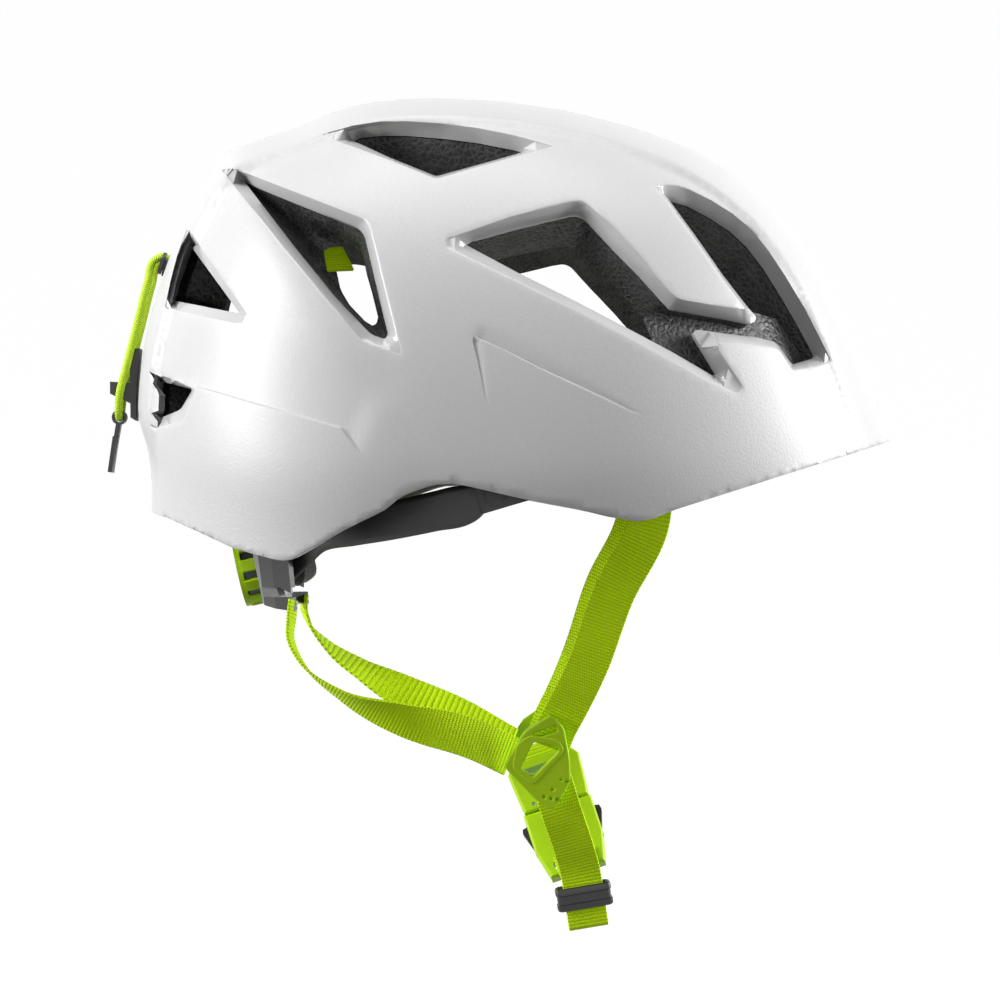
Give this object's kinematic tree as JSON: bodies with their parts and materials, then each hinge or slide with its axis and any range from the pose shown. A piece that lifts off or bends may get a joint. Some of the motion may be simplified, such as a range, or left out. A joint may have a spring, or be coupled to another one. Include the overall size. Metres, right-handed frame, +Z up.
{
  "type": "climbing helmet",
  "caption": "Vented climbing helmet: moulded shell on a foam liner, dial-adjusted nape cradle, webbing chin harness with a side-release buckle, rear elastic headlamp loop.",
  "frame": {"origin": "head seat reference, on the centre plane at headband level", "axes": "+Z up, -Y is the front of the helmet, +X is the wearer's left"},
  "size_m": [0.2134, 0.2945, 0.3122],
  "materials": {
    "shell_white": "satin white with a fine speckle",
    "foam_black": "moulded bead foam",
    "pad_black": "knit fabric over foam",
    "webbing_green": "woven webbing",
    "plastic_green": "satin",
    "plastic_black": "satin",
    "cord_green": "braided elastic cord",
    "steel": "plain"
  },
  "bodies": {
    "helmet": {"outer_shell": "shell_white", "foam_liner": "foam_black", "crown_pad": "pad_black", "headband_front": "plastic_black", "brow_pad": "pad_black", "headband_pins": "plastic_black", "rear_arm_left": "plastic_black", "rear_arm_right": "plastic_black", "front_strap_left": "webbing_green", "front_strap_right": "webbing_green", "rear_strap_left": "webbing_green", "rear_strap_right": "webbing_green", "crown_strap": "webbing_green", "chin_strap_left": "webbing_green", "chin_strap_right": "webbing_green", "divider_left": "plastic_green", "divider_right": "plastic_green", "buckle_female": "plastic_green", "buckle_male": "plastic_green", "prong_pins": "steel", "strap_rivets": "plastic_black", "cord_grommets": "plastic_black", "bungee_hook": "plastic_black"},
    "nape_cradle": {"nape_housing": "plastic_black", "nape_cover": "plastic_black", "cover_screws": "steel", "detent_spring": "steel", "nape_wing_left": "plastic_black", "nape_wing_right": "plastic_black", "nape_pad": "pad_black"},
    "dial": {"dial_core": "plastic_black", "dial_grip": "plastic_green", "dial_screw": "steel", "pinion": "plastic_black"},
    "rack_left": {"rack_left": "plastic_black"},
    "rack_right": {"rack_right": "plastic_black"},
    "prong_a": {"buckle_prong_a": "plastic_black"},
    "prong_b": {"buckle_prong_b": "plastic_black"},
    "keeper": {"strap_keeper": "plastic_black"},
    "bungee_loop": {"bungee_loop": "cord_green"},
    "pull_tab": {"pull_tab": "plastic_black"}
  },
  "joints": [
    {"name": "nape_slide", "type": "slide", "parent": "helmet", "child": "nape_cradle", "axis": [0, 1, 0], "range_m": [-0.012, 0.01], "deforming": ["rear_arm_left", "rear_arm_right", "rear_strap_left", "rear_strap_right"]},
    {"name": "dial_turn", "type": "hinge", "parent": "nape_cradle", "child": "dial", "pos_m": [0, 0.0907, -0.0237], "axis": [0, 0.977, -0.213], "range_deg": [-128, 107]},
    {"name": "rack_left_slide", "type": "slide", "parent": "nape_cradle", "child": "rack_left", "axis": [1, 0, 0], "range_m": [-0.01205, 0.01005]},
    {"name": "rack_right_slide", "type": "slide", "parent": "nape_cradle", "child": "rack_right", "axis": [-1, 0, 0], "range_m": [-0.01205, 0.01005]},
    {"name": "prong_a_squeeze", "type": "hinge", "parent": "helmet", "child": "prong_a", "pos_m": [0.00635, -0.02872, -0.11116], "axis": [0.9255, -0.1107, -0.3623], "range_deg": [0, 8], "stiffness_Nm_per_rad": 0.3},
    {"name": "prong_b_squeeze", "type": "hinge", "parent": "helmet", "child": "prong_b", "pos_m": [0.00619, -0.01315, -0.11632], "axis": [-0.9255, 0.1107, 0.3623], "range_deg": [0, 8], "stiffness_Nm_per_rad": 0.3},
    {"name": "keeper_slide", "type": "slide", "parent": "helmet", "child": "keeper", "axis": [0.1397, -0.1537, -0.9782], "range_m": [-0.003, 0.003]},
    {"name": "bungee_swing", "type": "hinge", "parent": "helmet", "child": "bungee_loop", "pos_m": [0, 0.1292, 0.0896], "axis": [1, 0, 0], "range_deg": [0, 100]},
    {"name": "pull_tab_swing", "type": "hinge", "parent": "bungee_loop", "child": "pull_tab", "pos_m": [0, 0.1435, 0.0312], "axis": [1, 0, 0], "range_deg": [-30, 90]}
  ],
  "couplings": [
    {"joint": "dial_turn", "follows": "nape_slide", "rad_per_m": 185.19},
    {"joint": "rack_left_slide", "follows": "nape_slide", "ratio": 1},
    {"joint": "rack_right_slide", "follows": "nape_slide", "ratio": 1}
  ]
}
